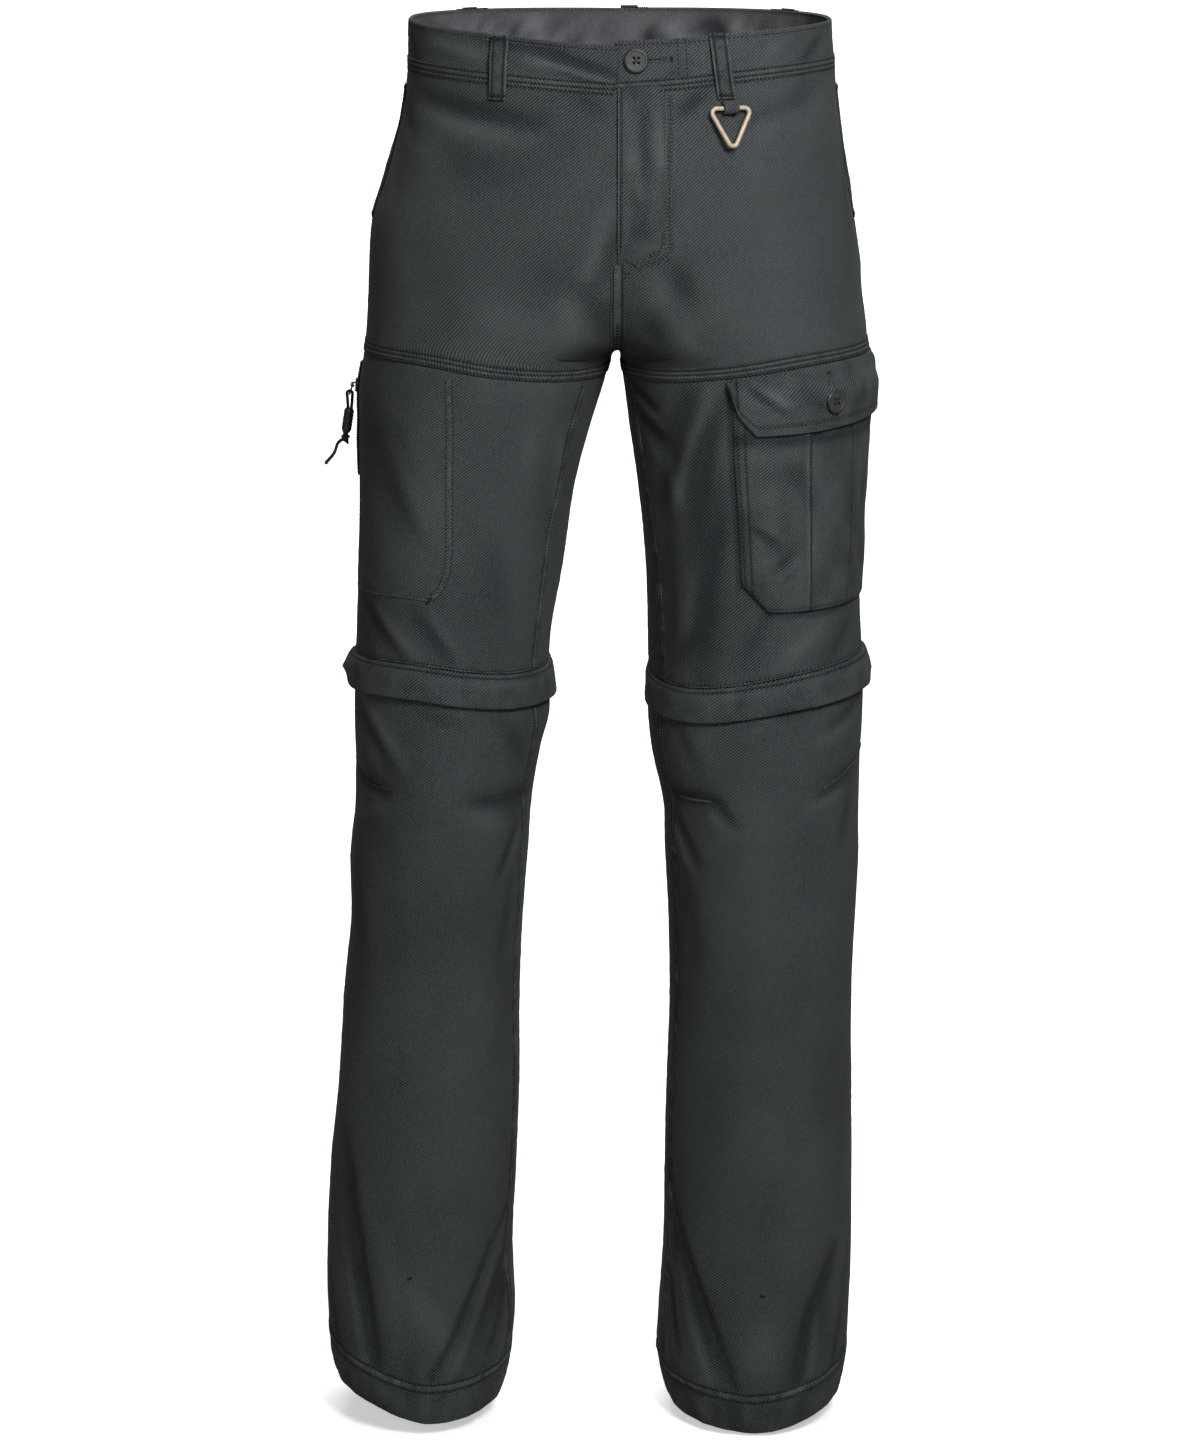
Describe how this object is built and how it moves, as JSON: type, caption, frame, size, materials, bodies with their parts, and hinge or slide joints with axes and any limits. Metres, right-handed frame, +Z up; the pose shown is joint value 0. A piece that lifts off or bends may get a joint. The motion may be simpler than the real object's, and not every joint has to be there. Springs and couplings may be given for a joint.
{
  "type": "convertible zip-off trousers",
  "caption": "Straight-leg twill trousers with zip-off lower legs, a cargo pocket, a thigh zip pocket and a hanging triangular ring, filled out as worn.",
  "frame": {"origin": "middle of the waist opening, level with the waistband's top edge at the side seams, where the wearer's waist holds the trousers up", "axes": "+Z up to the waist, -Y out of the front, +X towards the wearer's left"},
  "size_m": [0.4246, 0.2577, 1.095],
  "materials": {
    "cloth": "matt cotton twill, dark graphite",
    "cloth_trim": "matt cotton twill, narrow strips",
    "zip": "woven zip tape with moulded coil teeth",
    "metal": "dark lacquered die-cast metal",
    "brass": "brushed antique brass plating",
    "button": "semi-matt moulded resin",
    "cord": "braided polyester cord"
  },
  "bodies": {
    "trousers": {"waistband_front_right": "cloth", "waistband_front_left": "cloth", "waistband_back": "cloth", "front_right": "cloth", "front_left": "cloth", "thigh_front_right": "cloth", "thigh_front_left": "cloth", "back_right": "cloth", "back_left": "cloth", "knee_flap_right": "cloth", "knee_flap_left": "cloth", "lower_front_right": "cloth", "lower_front_left": "cloth", "lower_back_right": "cloth", "lower_back_left": "cloth", "fly": "cloth", "cargo_pocket": "cloth", "cargo_flap": "cloth", "belt_loop_front_right": "cloth_trim", "belt_loop_front_left": "cloth_trim", "belt_loop_back_right": "cloth_trim", "belt_loop_back_left": "cloth_trim", "belt_loop_back_middle": "cloth_trim", "side_pocket_right": "cloth_trim", "side_pocket_left": "cloth_trim", "ring_tape": "cloth_trim", "knee_zip_right": "zip", "knee_zip_left": "zip", "pocket_zip": "zip", "knee_slider_right": "metal", "knee_slider_left": "metal", "pocket_slider": "metal", "waist_button": "button", "cargo_button": "button"},
    "key_ring": {"ring": "brass"},
    "zip_pull": {"pull_loop": "metal", "pull_cord_loop": "cord", "pull_grip": "button", "pull_knot": "cord", "pull_cord_tail_a": "cord", "pull_cord_tail_b": "cord"}
  },
  "joints": [
    {"name": "ring_swing", "type": "hinge", "parent": "trousers", "child": "key_ring", "pos_m": [0.08078, -0.11174, -0.05508], "axis": [-0.9478, -0.3188, 0], "range_deg": [0, 150]},
    {"name": "zip_pull_swing", "type": "hinge", "parent": "trousers", "child": "zip_pull", "pos_m": [-0.19853, 0, -0.27363], "axis": [0, 1, 0], "range_deg": [0, 140]}
  ]
}
